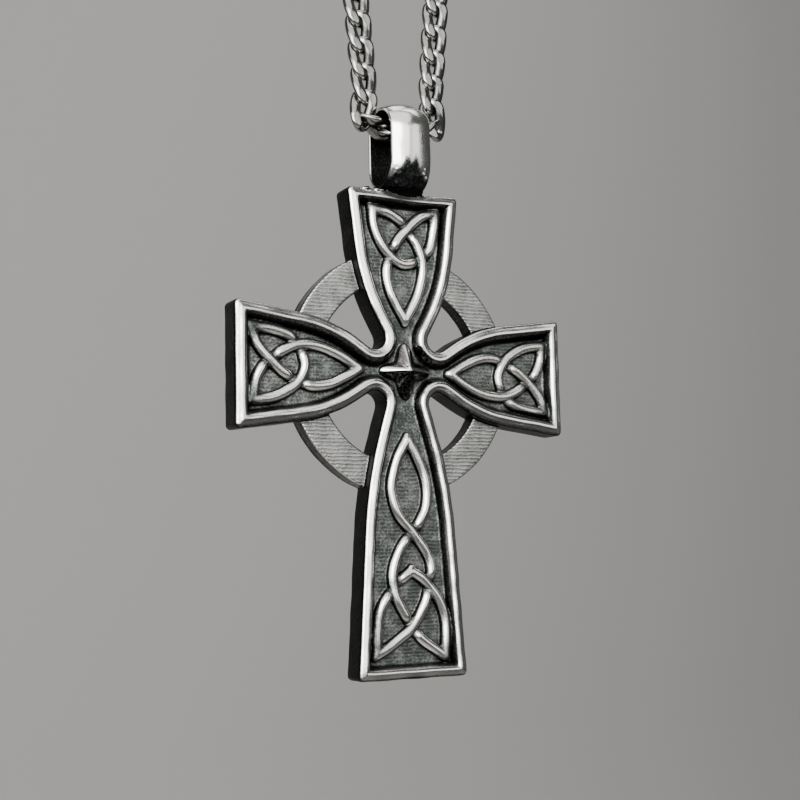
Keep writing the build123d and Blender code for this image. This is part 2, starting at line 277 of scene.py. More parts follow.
# %% Tables of the two knots
TRIQUETRA = [
    ("tip", "under", [(-0.54, 0.895), (-0.25, 0.878), (-0.02, 0.836), (0.085, 0.793)]),
    ("under", "tip", [(0.085, 0.793), (0.25, 0.715), (0.345, 0.627), (0.333, 0.515),
                      (0.215, 0.4), (0.01, 0.281)]),
    ("tip", "under", [(0.6, 0.902), (0.345, 0.871), (0.12, 0.807), (-0.08, 0.729),
                      (-0.216, 0.647)]),
    ("under", "tip", [(-0.216, 0.647), (-0.295, 0.556), (-0.255, 0.454), (-0.127, 0.359),
                      (0.01, 0.281)]),
    ("tip", "under", [(-0.54, 0.895), (-0.51, 0.8), (-0.405, 0.712), (-0.23, 0.637),
                      (0.02, 0.597), (0.337, 0.627)]),
    ("under", "tip", [(0.337, 0.627), (0.48, 0.69), (0.56, 0.787), (0.6, 0.902)]),
]
LONG_KNOT = [
    ("tip", "under", [(0.0, 0.224), (-0.197, 0.293), (-0.311, 0.382), (-0.2, 0.468),
                      (0.072, 0.532), (0.32, 0.596), (0.404, 0.65), (0.355, 0.7)]),
    ("under", "tip", [(0.355, 0.7), (0.26, 0.764), (0.02, 0.834), (-0.3, 0.883),
                      (-0.64, 0.92)]),
    ("tip", "under", [(0.0, 0.224), (0.197, 0.291), (0.342, 0.37), (0.33, 0.444),
                      (0.197, 0.497), (0.062, 0.53)]),
    ("under", "under", [(0.062, 0.53), (-0.155, 0.579), (-0.311, 0.653), (-0.28, 0.727),
                        (-0.125, 0.789), (0.02, 0.834)]),
    ("under", "tip", [(0.02, 0.834), (0.2, 0.875), (0.435, 0.908), (0.62, 0.934)]),
    ("tip", "under", [(-0.64, 0.92), (-0.622, 0.846), (-0.54, 0.772), (-0.3, 0.706)]),
    ("under", "tip", [(-0.28, 0.703), (-0.125, 0.676), (0.03, 0.655)]),
    ("tip", "tip", [(0.03, 0.655), (0.25, 0.684), (0.518, 0.747), (0.653, 0.83),
                    (0.62, 0.934)]),
]
print("knots of", len(TRIQUETRA), "and", len(LONG_KNOT), "stretches")

# %% Curves and tubes
def smooth_path(points, steps=8):
    """Catmull-Rom curve through points, as an array."""
    points = [np.array(p, float) for p in points]
    points = [2 * points[0] - points[1]] + points + [2 * points[-1] - points[-2]]
    path = []
    for a, b, c, d in zip(points, points[1:], points[2:], points[3:]):
        for t in np.arange(steps) / steps:
            path.append(0.5 * (2 * b + (c - a) * t + (2 * a - 5 * b + 4 * c - d) * t * t
                               + (3 * b - a - 3 * c + d) * t ** 3))
    path.append(points[-2])
    return np.array(path)


def tube_rings(path, radius, sides):
    """Circles across a path, kept from twisting by carrying the last one's direction on."""
    runs = np.gradient(path, axis=0)
    runs /= np.linalg.norm(runs, axis=1, keepdims=True)
    side = np.cross(runs[0], (0, 0, 1))
    rings = []
    angles = full_turn(sides)
    for point, run in zip(path, runs):
        side = side - run * side.dot(run)
        side /= np.linalg.norm(side)
        up = np.cross(side, run)
        rings.append([point + radius * (side * math.cos(t) + up * math.sin(t)) for t in angles])
    return rings


print("a first stretch has", len(smooth_path(TRIQUETRA[0][2])), "stations")

# %% [markdown]
# An end that goes under eases down out of sight, so the strand above it reads as crossing over.
# Two balls at a tip, the second smaller and further out, make its blunt point.

# %% Draw strands as tubes
STRAND_R, STRAND_RISE, TUBE_SIDES = 0.45, 0.15, 14
DIVE_DEPTH, DIVE_RUN, TIP_R = 0.55, 1.0, 0.44
TIP_BALLS = [(0, 1.0), (0.2, 0.82)]  # distance past the tip, share of TIP_R


def add_strand(soup, start, finish, points):
    """Adds one stretch, sinking into the field at each end that goes under."""
    level = FIELD_Z + STRAND_RISE
    path = smooth_path([(x, y, level) for x, y in points])
    runs = np.linalg.norm(np.diff(path, axis=0), axis=1)
    from_start = np.concatenate([[0], np.cumsum(runs)])
    for kind, distance in ((start, from_start), (finish, from_start[-1] - from_start)):
        if kind == "under":
            near = np.clip(1 - distance / DIVE_RUN, 0, 1)
            path[:, 2] -= DIVE_DEPTH * near * near * (3 - 2 * near)
    add_rings(soup, tube_rings(path, STRAND_R, TUBE_SIDES))


def add_knot(soup, table, half_end, length, place):
    """Adds a knot and, at each tip, a knob drawn out to a point."""
    tips = {}
    for start, finish, shares in table:
        points = [place(across * half_end, along * length) for across, along in shares]
        add_strand(soup, start, finish, points)
        for kind, end, beside in ((start, 0, 1), (finish, -1, -2)):
            if kind == "tip":
                tips.setdefault(points[end], []).append(unit(points[beside], points[end]))
    for (x, y), outward in tips.items():
        ahead = np.sum(outward, axis=0)
        ahead /= np.linalg.norm(ahead)
        for reach, share in TIP_BALLS:
            spot = (x + ahead[0] * reach, y + ahead[1] * reach, FIELD_Z + STRAND_RISE)
            add_ball(soup, spot, (TIP_R * share,) * 3)


KNOTS = [
    # table, half the end's width, length, how across and along turn into x and y
    (TRIQUETRA, UPPER_END / 2, UPPER_ARM, lambda a, b: (a, b)),
    (TRIQUETRA, SIDE_END / 2, SIDE_ARM, lambda a, b: (-b, a)),
    (TRIQUETRA, SIDE_END / 2, SIDE_ARM, lambda a, b: (b, -a)),
    (LONG_KNOT, LOWER_END / 2, LOWER_ARM, lambda a, b: (a, -b)),
]
for knot in KNOTS:
    add_knot(cross, *knot)
print("knots have", sum(len(knot[0]) for knot in KNOTS), "stretches of strand")

# %% [markdown]
# ## Star
# At the crossing sits a four-pointed star with fat, rounded arms. In plan it is two crossed
# ovals, one along each pair of arms, and a point's level is how far out it is in the nearer
# oval. A line of even level is found at each of many bearings by halving. The lines are stacked
# on a low wall, and rise ever less steeply, so the ridges come out blunt.

# %% Build the star
STAR_REACH, STAR_H, STAR_WALL, STAR_ROOT = 2.3, 1.2, 0.25, -0.15
UPRIGHT_HALF, LEVEL_HALF = 0.88, 0.76
OVAL_POWER, ARMS_BLEND, RIDGE_POWER = 2.0, 9.0, 1.3
STAR_LINES = (1.0, 1.0, 0.97, 0.92, 0.85, 0.76, 0.66, 0.55, 0.44, 0.33, 0.22, 0.12, 0.04)
STAR_BEARINGS, STAR_HALVINGS = 96, 20


def star_level(x, y):
    """How far out a point is: 1 on the star's foot, less inside."""
    def oval(across, along, half):
        return ((abs(across) / half) ** OVAL_POWER
                + (abs(along) / STAR_REACH) ** OVAL_POWER) ** (1 / OVAL_POWER)
    upright, level = oval(x, y, UPRIGHT_HALF), oval(y, x, LEVEL_HALF)
    return (upright ** -ARMS_BLEND + level ** -ARMS_BLEND) ** (-1 / ARMS_BLEND)


def star_point(share, bearing):
    """The place on a bearing where the level is a given share."""
    low, high = 0.0, STAR_REACH * 1.2  # a little past the tips
    for _ in range(STAR_HALVINGS):
        reach = (low + high) / 2
        if star_level(reach * math.cos(bearing), reach * math.sin(bearing)) < share:
            low = reach
        else:
            high = reach
    return reach * math.cos(bearing), reach * math.sin(bearing)


star_rings = []
for share in STAR_LINES:
    up = STAR_WALL + (STAR_H - STAR_WALL) * (1 - share ** RIDGE_POWER)
    if not star_rings:
        up = STAR_ROOT  # the first line is sunk into the field
    star_rings.append([(*star_point(share, t), FIELD_Z + up) for t in full_turn(STAR_BEARINGS)])
add_rings(cross, star_rings)
print("star stands", round(FIELD_Z + STAR_H - CREST_Z, 2), "mm proud of the rim")

# %% [markdown]
# ## Bail
# The bail is a strip of domed sheet bent to an oval and soldered on. Its section is flat inside
# and crowned outside, with a small bevel along each edge. It is carried round a long oval, a
# half circle at each end with straight legs between.

# %% Build the bail
BAIL_W, BAIL_BEVEL, BAIL_SINK = 3.7, 0.1, 0.3
BAIL_BORE_R, BAIL_EDGE_T, BAIL_DOME, BAIL_LEG = 1.85, 0.32, 0.43, 2.55
BAIL_FOOT_UP = UPPER_ARM - BAIL_SINK + BAIL_BORE_R + BAIL_EDGE_T + BAIL_DOME
BAIL_TOP_UP = BAIL_FOOT_UP + BAIL_LEG
END_SHARE, SIDE_FLARE = 0.97, 0.05  # the strip is broader in front and behind
DOME_POINTS, BEND_STATIONS = 15, 24


def bail_section(width):
    """Strip in section, as (across, out from the bore)."""
    half, flat_half = width / 2, width / 2 - BAIL_BEVEL
    section = [(-half + BAIL_BEVEL, 0), (flat_half, 0),
               (half, BAIL_BEVEL), (half, BAIL_EDGE_T - BAIL_BEVEL)]
    for t in np.linspace(1, -1, DOME_POINTS):
        section.append((t * flat_half, BAIL_EDGE_T + BAIL_DOME * (1 - t * t)))
    return section + [(-half, BAIL_EDGE_T - BAIL_BEVEL), (-half, BAIL_BEVEL)]


def bail_stations():
    """Stations round the oval: point, outward direction and the strip's width there."""
    stations = []
    for centre, first in ((BAIL_TOP_UP, 0.0), (BAIL_FOOT_UP, math.pi)):
        for t in np.linspace(first, first + math.pi, BEND_STATIONS):
            out = (math.sin(t), math.cos(t))
            wide = BAIL_W * (END_SHARE + SIDE_FLARE * math.sin(t) ** 2)
            stations.append(((centre + BAIL_BORE_R * out[0], BAIL_BORE_R * out[1]), out, wide))
    return stations


bail_rings = []
for (up, front), out, wide in bail_stations():
    bail_rings.append([(across, up + out[0] * away, front + out[1] * away)
                       for across, away in bail_section(wide)])
add_rings(cross, bail_rings, tyre=True)
print("bail is", round(2 * BAIL_BORE_R + BAIL_LEG, 2), "mm tall inside")

# %% [markdown]
# ## Solder
# Where the bail meets the arm, solder was flowed into the corner by hand. It lies as an uneven
# fillet with a few beads, some of which ran along the top edge. Balls of solder are scattered
# by a seeded generator, so the lumps are the same at each run.

# %% Drop the solder
random.seed(7)
CORNER_BEADS, FRONT_BEADS, EDGE_BEADS = 46, 40, 22
BEAD_RINGS = 6
for _ in range(CORNER_BEADS):
    across = random.uniform(-1.7, 1.7)
    front = random.choice((-1, 1)) * random.uniform(0.2, 1.1)
    size = random.uniform(0.16, 0.36)
    lift = 0.55 * (abs(front) / 1.1) ** 2
    spot = (across, UPPER_ARM + lift - 0.1, max(front, -1.2))
    add_ball(cross, spot, (size, size * 0.8, size), BEAD_RINGS)
for _ in range(FRONT_BEADS):
    turn = random.uniform(0.35, 1.25)
    away = BAIL_BORE_R + BAIL_EDGE_T + random.uniform(0.1, 0.3)
    size = random.uniform(0.1, 0.2)
    across = random.uniform(-1.4, 1.4)
    spot = (across, BAIL_FOOT_UP - away * math.cos(turn), away * math.sin(turn))
    add_ball(cross, spot, (size * 1.3, size, size), BEAD_RINGS)
for i in range(EDGE_BEADS):
    across = random.uniform(-3.6, -1.4) if i % 3 else random.uniform(1.4, 3.0)
    size = random.uniform(0.12, 0.26)
    spot = (across, UPPER_ARM - 0.05, random.uniform(-0.4, 0.6))
    add_ball(cross, spot, (size, size * 0.7, size), BEAD_RINGS)
print("solder:", CORNER_BEADS + FRONT_BEADS + EDGE_BEADS, "beads")

# %% [markdown]
# ## Fuse the casting
# A voxel remesh turns the soup of shells into one watertight skin. At 0.06 mm it keeps the
# strands crisp, and a little smoothing takes off the steps. The work is done in millimetres,
# where the remesh is exact enough, and the result is stood up in metres afterwards.

# %% Remesh and smooth
VOXEL = 0.06


def mesh_piece(name, points, faces):
    """A smooth-shaded object from points and faces."""
    mesh = bpy.data.meshes.new(name)
    mesh.from_pydata([tuple(p) for p in points], [], faces)
    mesh.update()
    mesh.shade_smooth()
    piece = bpy.data.objects.new(name, mesh)
    bpy.context.scene.collection.objects.link(piece)
    return piece


def settle(piece):
    """Applies a piece's modifiers to its mesh."""
    view = bpy.context.evaluated_depsgraph_get()
    made = bpy.data.meshes.new_from_object(piece.evaluated_get(view))
    piece.modifiers.clear()
    old, piece.data = piece.data, made
    bpy.data.meshes.remove(old)
    made.name = piece.name


def count_triangles(piece):
    """How many triangles a piece's own mesh has."""
    piece.data.calc_loop_triangles()
    return len(piece.data.loop_triangles)


casting = mesh_piece("cross_casting", cross["points"], cross["faces"])
fuse = casting.modifiers.new("fuse", "REMESH")
fuse.mode = "VOXEL"
fuse.voxel_size = VOXEL * 1
soften = casting.modifiers.new("soften", "SMOOTH")
soften.factor = 0.5
soften.iterations = 4
settle(casting)
print("casting fused:", count_triangles(casting), "triangles")

# %% [markdown]
# ## Where the patina stays
# A buffing wheel slides over the high places and misses the low ones. So before the skin is
# thinned out, each point gets two numbers that the material reads later, "patina" for how much
# of the grey layer is left and "black_and_shade" for the black that stays in corners even after
# cleaning, together with painted shade on faces turned from the light.
# Both come from a map of the front's heights: a point is proud where it stands above the average
# round it, and sheltered where it lies below.

# %% Helpers for the marks
def array_of(data, attribute, width):
    """One attribute of a mesh's elements as an array."""
    values = np.empty(len(data) * width)
    data.foreach_get(attribute, values)
    return values.reshape(-1, width)


def ramp(first, last, values):
    """0 up to the first bound, 1 past the last and smooth between, rising or falling."""
    t = np.clip((values - first) / (last - first), 0, 1)
    return t * t * (3 - 2 * t)


def inside(polygon, x, y):
    """Which points of the plane lie inside a polygon."""
    within = np.zeros(len(x), bool)
    for (ax, ay), (bx, by) in zip(polygon, polygon[1:] + polygon[:1]):
        if ay != by:
            crosses = (ay > y) != (by > y)
            within ^= crosses & (x < (bx - ax) * (y - ay) / (by - ay) + ax)
    return within


def height_above_surroundings(x, y, z, cell, rounds):
    """How far each point stands above the front's heights averaged round it."""
    column = ((x - x.min()) / cell).astype(int) + 1
    row = ((y - y.min()) / cell).astype(int) + 1
    heights = np.full((row.max() + 2, column.max() + 2), FIELD_Z)
    np.maximum.at(heights, (row, column), z)
    for _ in range(rounds):
        for axis in (0, 1):
            beside = np.roll(heights, 1, axis) + np.roll(heights, -1, axis)
            heights = heights / 2 + beside / 4
    return z - heights[row, column]


def mark(mesh, name, values):
    """Stores one number per point for the material to read."""
    layer = mesh.attributes.new(name, "FLOAT", "POINT")
    layer.data.foreach_set("value", np.asarray(values, np.float32))


print("marks: patina for the grey layer, soot for the black")

# %% [markdown]
# The wheel wears a crest first, so the grey goes where a point stands proud. Black patina stays
# in the corners, and slopes that face down or to the left get painted shade, black as if no light
# reached them. The outer walls are painted black, partly unbuffed patina and partly painted
# shade, and the right arm's knot has kept more grey than the others.

# %% Mark the front
MAP_CELL, WIDE_ROUNDS, CLOSE_ROUNDS = 0.1, 50, 10
FULL_GREY, WORN_OFF = 0.96, 0.92
mesh = casting.data
flat = array_of(mesh.vertices, "co", 3)
facing = array_of(mesh.vertex_normals, "vector", 3)
x, y, z = flat.T
to_right, to_top, to_front = facing.T
proud = height_above_surroundings(x, y, z, MAP_CELL, WIDE_ROUNDS)
sunk = -height_above_surroundings(x, y, z, MAP_CELL, CLOSE_ROUNDS)
on_bail = y > UPPER_ARM + 0.25
in_rim = inside(outline(0.05), x, y) & (z > FIELD_Z - 0.2) & ~on_bail
in_field = inside(outline(FIELD_INSET + 0.1), x, y)
steep = np.where(in_field, ramp(0.6, 0.3, to_front), ramp(0.88, 0.6, to_front))
worn = WORN_OFF * ramp(0.04, 0.16, proud) * (1 - 0.5 * steep)
patina = np.where(in_rim, FULL_GREY - worn, FULL_GREY)
less_worn = 0.34 * ramp(4.0, 7.5, x) * in_field * ramp(6.0, 4.0, np.abs(y))
patina = np.maximum(patina, less_worn)
# Painted shade: faces turned down or to the left are blackened on the slopes and in the corners.
turned_away = np.maximum(ramp(0.3, -0.4, to_top), 0.8 * ramp(0.2, -0.5, to_right))
shaded = 0.25 + 0.75 * turned_away
slopes = 0.9 * steep * shaded * ramp(0.85, 0.7, z - FIELD_Z)
# Off the rim the black is full: unbuffed patina and painted shade on the outer walls.
black_and_shade = np.where(in_rim, ramp(0.08, 0.34, sunk) * (0.4 + 0.6 * shaded) + slopes, 1.0)
# Painted shade: faces turned down, off the field, are painted black.
black_and_shade = np.maximum(black_and_shade, 0.9 * ramp(-0.12, -0.45, to_top) * ~in_field)
print("grey on", round(100 * float(np.mean(patina[in_rim] > 0.5))), "% of the front")

# %% [markdown]
# The star stands highest and has no grey left, but its flanks get painted shade. So its black goes
# by how far a face has turned from the ridge beside it, and is deepest below, where faces turn
# down.

# %% Mark the star
from_crossing = np.hypot(x, y)
near_star = in_rim & (from_crossing < STAR_REACH + 0.1) & (z > FIELD_Z + 0.12)
patina = np.where(near_star, 0.05, patina)
upright = np.abs(x) < np.abs(y)
ridge = np.where(upright, 0.93, 0.85)
# Painted shade: flanks turned from the ridge, turned down, or turned left on the upright arms are
# painted black.
painted_flank_shade = np.maximum(0.85 * ramp(0.0, 0.14, ridge - to_front), 0.97 * ramp(-0.02, -0.2, to_top))
painted_flank_shade = np.maximum(painted_flank_shade, 0.8 * upright * ramp(-0.1, -0.4, to_right))
black_and_shade = np.where(near_star, painted_flank_shade, black_and_shade)
print("star has", int(near_star.sum()), "of the skin's points")

# %% [markdown]
# The wheel reached the ring only between the arms, so its face stays grey with a bright outer
# edge, and its walls are black with patina and painted shade. The back has worn evenly to a half
# grey.

# %% Mark the ring and the back
on_ring = (z < RING_FACE_Z + 0.1) & (z > BACK_Z + 0.3) & ~inside(outline(-0.08), x, y) & ~on_bail
ring_edge = ramp(RING_OUTER_R - 0.14, RING_OUTER_R - 0.03, from_crossing)
patina = np.where(on_ring, 0.78 - 0.7 * ring_edge, patina)
# The ring's walls are painted black: patina and painted shade.
black_and_shade = np.where(on_ring, 0.95 * steep * ramp(RING_FACE_Z - 0.04, RING_FACE_Z - 0.14, z), black_and_shade)
at_back = z < BACK_Z + 0.1
patina, black_and_shade = np.where(at_back, 0.45, patina), np.where(at_back, 0.0, black_and_shade)
print("ring has", int(on_ring.sum()), "of the skin's points")

# %% [markdown]
# The bail is bright outside. Inside it is black, which is patina and painted shade, and it is
# black again in the flame-shaped patch where flux and solder ran up its front. A few waves added
# together draw the flame's uneven edge. A third mark, "layered", is for the fine level lines of
# the ring and the field.

# %% Mark the bail, and store the marks
centre_up = np.clip(y, BAIL_FOOT_UP, BAIL_TOP_UP)
bright = to_top * (y - centre_up) + to_front * z > 0
bright |= np.abs(to_right) > 0.6
flame = 0.75 * np.cos(x * 1.7 + 0.5) + 0.35 * np.sin(x * 7) * np.cos(x * 1.2)
burnt = ramp(0.3, -0.3, y - (BAIL_FOOT_UP - 0.75 + flame)) * (z > 0)
burnt = np.maximum(burnt, ramp(0.2, -0.2, y - UPPER_ARM - 0.6))
# The bail's outside turns greyer towards the right.
greyer_to_right = 0.04 + 0.3 * ramp(0.2, 0.9, x)
# Inside the bail the black is patina and painted shade.
patina = np.where(on_bail, np.where(bright, np.maximum(greyer_to_right, burnt), 0.9), patina)
black_and_shade = np.where(on_bail, np.where(bright, 0.8 * burnt, 0.9), black_and_shade)
away = ramp(3.0, 6.0, from_crossing)
mark(mesh, "patina", patina)
mark(mesh, "black_and_shade", np.clip(black_and_shade, 0, 1))
mark(mesh, "layered", 0.2 * on_ring + 0.05 * away * (in_rim & in_field & (patina > 0.8)))
print("patina on", round(100 * float(np.mean(patina > 0.5))), "% of the skin's points")

# %% [markdown]
# ## Cast unevenness
# A casting is never quite true: its faces swell and sink by a few hundredths of a millimetre. A
# smooth, slow wave pushes the skin in and out by that much, and the top edge has a shallow dip
# where its solder was filed. A decimate then brings the count down to what a small jewel needs.

# %% Disturb the skin
SWELL, FILED_DIP = 0.022, 0.22
across_swell = np.sin(x * 2.1 + 1.3 * np.sin(y * 1.7))
upward_swell = np.sin(y * 2.6 + 1.1 * np.sin(x * 1.9 + z))
wobble = (across_swell + upward_swell) / 2
filed = FILED_DIP * np.exp(-((x - 0.9) / 2.0) ** 2) * ramp(UPPER_ARM - 1.2, UPPER_ARM, y)
filed = np.where(on_bail, 0, filed)
flat = flat + facing * (SWELL * wobble * (1 - 0.5 * on_bail))[:, None]
flat[:, 1] -= filed
mesh.vertices.foreach_set("co", flat.ravel())
mesh.update()
print("skin swells by up to", SWELL, "mm")

# %% Thin the casting out and stand it up
TRIANGLES = 185000
thin = casting.modifiers.new("thin", "DECIMATE")
thin.ratio = min(1.0, TRIANGLES / count_triangles(casting))
settle(casting)
thinned = array_of(casting.data.vertices, "co", 3)
casting.data.vertices.foreach_set("co", stand_up(thinned).ravel())
casting.data.update()
casting.data.shade_smooth()
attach(casting, "pendant")
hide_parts("cross_pendant")
print("casting thinned to", count_triangles(casting), "triangles")

# %% [markdown]
# ## Curb chain
# A curb link starts as a ring of round wire. It is twisted a quarter turn so that the chain
# lies flat, and then both faces of the chain are filed level, which gives each bar a
# bright flat. The link is drawn as a tube round a twisted six-cornered loop, and the
# filing is a clamp on its depth.

# %% Round off a loop
BEND_STEPS = 5


def rounded_loop(corners, share=0.45):
    """A closed loop of straight runs and arcs, as an array of stations."""
    corners = [np.array(c, float) for c in corners]
    stations = []
    for i, corner in enumerate(corners):
        back, ahead = corners[i - 1] - corner, corners[(i + 1) % len(corners)] - corner
        reach = share * min(np.linalg.norm(back), np.linalg.norm(ahead))
        back, ahead = back / np.linalg.norm(back), ahead / np.linalg.norm(ahead)
        half = math.acos(np.clip(back.dot(ahead), -1, 1)) / 2
        radius = reach * math.tan(half)
        middle = (back + ahead) / np.linalg.norm(back + ahead)
        hub = corner + middle * reach / math.cos(half)
        first, along = (corner + back * reach - hub) / radius, -back
        for t in np.linspace(0, math.pi - 2 * half, BEND_STEPS + 1):
            stations.append(hub + radius * (first * math.cos(t) + along * math.sin(t)))
    return np.array(stations)


print("each bend is", BEND_STEPS, "steps")

# %% Draw one link
PITCH, WIRE_D, LINK_W, LINK_SLACK = 2.2, 0.56, 2.46, 0.18
BAR_HALF_W, END_HALF_W, BAR_HALF_T, FILED_DEPTH = 0.5, 0.42, 0.34, 0.48
LINK_MID_HALF = LINK_W / 2 - BAR_HALF_W
LINK_END_HALF = LINK_MID_HALF * 0.96
LINK_REACH = (PITCH + WIRE_D + LINK_SLACK) / 2
LINK_TWIST = math.radians(-45)
LINK_SIDES = 12
LINK_GREY, LINK_WORN_OFF = 0.97, 0.92


def link_shell():
    """Points and faces of one link, in millimetres, long way up."""
    across = LINK_END_HALF * math.cos(LINK_TWIST)
    back = LINK_END_HALF * math.sin(LINK_TWIST)
    path = rounded_loop([
        (LINK_MID_HALF, 0, 0), (across, back, LINK_REACH), (-across, -back, LINK_REACH),
        (-LINK_MID_HALF, 0, 0), (-across, back, -LINK_REACH), (across, -back, -LINK_REACH),
    ])
    runs = np.roll(path, -1, axis=0) - np.roll(path, 1, axis=0)
    runs /= np.linalg.norm(runs, axis=1, keepdims=True)
    rings = []
    angles = full_turn(LINK_SIDES)
    for point, run in zip(path, runs):
        deep = np.array((0, 1, 0)) - run * run[1]
        deep /= np.linalg.norm(deep)
        wide = np.cross(run, deep)
        half_w = BAR_HALF_W + (END_HALF_W - BAR_HALF_W) * (point[2] / LINK_REACH) ** 2
        rings.append([point + wide * half_w * math.cos(t) + deep * BAR_HALF_T * math.sin(t)
                      for t in angles])
    soup = new_soup()
    add_rings(soup, rings, tyre=True)
    points = np.array(soup["points"])
    points[:, 1] = np.clip(points[:, 1], -FILED_DEPTH, FILED_DEPTH)
    inward = np.tile(np.cos(angles), len(path))
    return points, soup["faces"], LINK_GREY - LINK_WORN_OFF * ramp(0.85, 0.35, inward)


link_points, link_faces, link_patina = link_shell()
print("one link has", 2 * len(link_faces), "triangles")

# %% [markdown]
# ## Laying the chain
# The links beside the bail are listed one by one, because there the chain turns edge on and passes
# through. Above them each strand hangs straight, and at the top it turns by the same small
# angle at each joint until it meets the clasp. The left side is the right side turned half
# round the upright line.

# %% Place the links
STRAND_LEAN, LOOP_LENGTH = 4.9, 457.0
TURN_HALVINGS = 40
BAIL_LINKS = [
    # right, back, up (shares of the pitch), lean and roll in degrees
    (0.0, 0.0, -0.072, 90.0, 90.0),
    (0.949, -0.072, 0.143, 64.9, -79.0),
    (1.498, 0.0, 0.655, -11.8, 0.0),
    (1.413, 0.0, 1.633, 4.9, 7.2),
]
STRAND_START = (1.498, 2.629)
CLASP_LENGTH, CLASP_GRIP = 5.6, 0.2
CLASP_LINK_X = CLASP_LENGTH / 2 - CLASP_GRIP


def step_on(x, z, lean, distance):
    """A point a distance further along a lean from upright."""
    lean = math.radians(lean)
    return (x + distance * math.sin(lean), z + distance * math.cos(lean))


def follow(x, z, lean, turns):
    """Poses of links joined end to end, each turned from the one before."""
    poses = []
    for turn in turns:
        x, z = step_on(x, z, lean, PITCH / 2)
        lean -= turn
        x, z = step_on(x, z, lean, PITCH / 2)
        poses.append((x, z, lean))
    return poses


def right_side():
    """Poses of the right strand from the bail up to the clasp."""
    start = (STRAND_START[0] * PITCH, STRAND_START[1] * PITCH, STRAND_LEAN)
    clasp_joint = CLASP_LINK_X + PITCH / 2
    count, half = 0, 0.0
    while 2 * half <= LOOP_LENGTH:
        count += 1
        straight = [start] + follow(*start, [0.0] * count)
        top_x = step_on(*straight[-1], PITCH / 2)[0]
        bend_r = (top_x - clasp_joint) / math.cos(math.radians(STRAND_LEAN))
        bend = max(1, round(bend_r * math.radians(90 + STRAND_LEAN) / PITCH))
        half = (len(BAIL_LINKS) + len(straight) + bend - 0.5) * PITCH + clasp_joint
    low, high = 0.0, 2 * (90 + STRAND_LEAN) / bend
    for _ in range(TURN_HALVINGS):
        step = (low + high) / 2
        arc = follow(*straight[-1], [step] * bend)
        if step_on(*arc[-1], PITCH / 2)[0] > clasp_joint:
            low = step
        else:
            high = step
    return straight + arc


def placed(x, y, z, lean, roll):
    """Matrix of a link from the bail's pivot, in millimetres and degrees."""
    leaned = Matrix.Rotation(math.radians(lean), 4, "Y")
    rolled = Matrix.Rotation(math.radians(roll), 4, "Z")
    return Matrix.Translation((x, y, z + pivot.z / MM)) @ (leaned @ rolled)


places = [placed(x * PITCH, y * PITCH, z * PITCH, lean, roll)
          for x, y, z, lean, roll in BAIL_LINKS]
places += [placed(x, 0, z, lean, 0) for x, z, lean in right_side()]
places += [Matrix.Rotation(math.pi, 4, "Z") @ place for place in places[1:]]
print("chain has", len(places), "links")

# %% [markdown]
# ## One body of links
# All links go into one mesh. Its flats and outer sides are bright from wear, and the insides of
# the links, where nothing rubs, stay dark. So each point carries the link's own mark.

# %% Make the chain
def links_at(matrices, first=0):
    """Points and faces of links placed by matrices, numbered from a first point on."""
    points, faces = [], []
    for matrix in map(np.array, matrices):
        points.append(link_points @ matrix[:3, :3].T + matrix[:3, 3])
        faces += [tuple(first + i for i in face) for face in link_faces]
        first += len(link_points)
    return np.concatenate(points), faces


chain_points, chain_faces = links_at(places)
chain = mesh_piece("curb_chain_links", chain_points * MM, chain_faces)
mark(chain.data, "patina", np.tile(link_patina, len(places)))
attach(chain, "chain")
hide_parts("curb_chain")
print("chain mesh has", count_triangles(chain), "triangles")

# %% [markdown]
# ## Clasp
# The clasp is out of the picture, so it is a plain turned barrel with a link soldered in at each
# end. A barrel is a profile spun round an axis: two shallow grooves and a rolled edge catch the
# light as turned work does.

# %% Build the clasp
CLASP_R, BARREL_SIDES, CREASE_ANGLE = 1.35, 48, 40
clasp_half = CLASP_LENGTH / 2
half_profile = [
    # along from the middle, radius
    (0.08, CLASP_R), (1.29, CLASP_R), (1.36, 1.27), (1.48, 1.27), (1.55, CLASP_R),
    (clasp_half - 0.4, CLASP_R), (clasp_half - 0.12, 1.2), (clasp_half, 0.95), (clasp_half, 0.3),
]
barrel_profile = [(-along, radius) for along, radius in reversed(half_profile)]
barrel_profile += [(0.0, CLASP_R - 0.02)] + half_profile
barrel = new_soup()
add_rings(barrel, [
    [(along, radius * math.cos(t), CLASP_R + radius * math.sin(t))
     for t in full_turn(BARREL_SIDES)]
    for along, radius in barrel_profile
])
level_link = Matrix.Rotation(math.pi / 2, 4, "Y")
ends = [Matrix.Translation((side * CLASP_LINK_X, 0, CLASP_R)) @ level_link for side in (1, -1)]
end_points, end_faces = links_at(ends, len(barrel["points"]))
clasp_points = np.concatenate([barrel["points"], end_points])
clasp = mesh_piece("barrel_clasp", clasp_points * MM, barrel["faces"] + end_faces)
worn_barrel = np.full(len(barrel["points"]), 0.05)
mark(clasp.data, "patina", np.concatenate([worn_barrel] + [link_patina] * len(ends)))
crease = clasp.modifiers.new("crease", "EDGE_SPLIT")
crease.split_angle = math.radians(CREASE_ANGLE)
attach(clasp, "chain")
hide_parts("clasp")
print("clasp is", CLASP_LENGTH, "mm long")

# %% [markdown]
# ## Antiqued sterling silver
# Sterling is a nearly white metal. Liver of sulphur leaves a thin layer of silver sulphide on
# it, grey-green when thin and nearly black in corners. The layer is matt, so the dark places are
# also rough, while a polished crest mirrors the room. So one material mixes three looks by the
# marks on the skin: polished metal, patina, and black, which is black patina in the hollows and
# painted shade on faces turned from the light.

# %% Helpers for materials
MATH, MIX = "ShaderNodeMath", "ShaderNodeMix"
NOISE, ATTRIBUTE = "ShaderNodeTexNoise", "ShaderNodeAttribute"


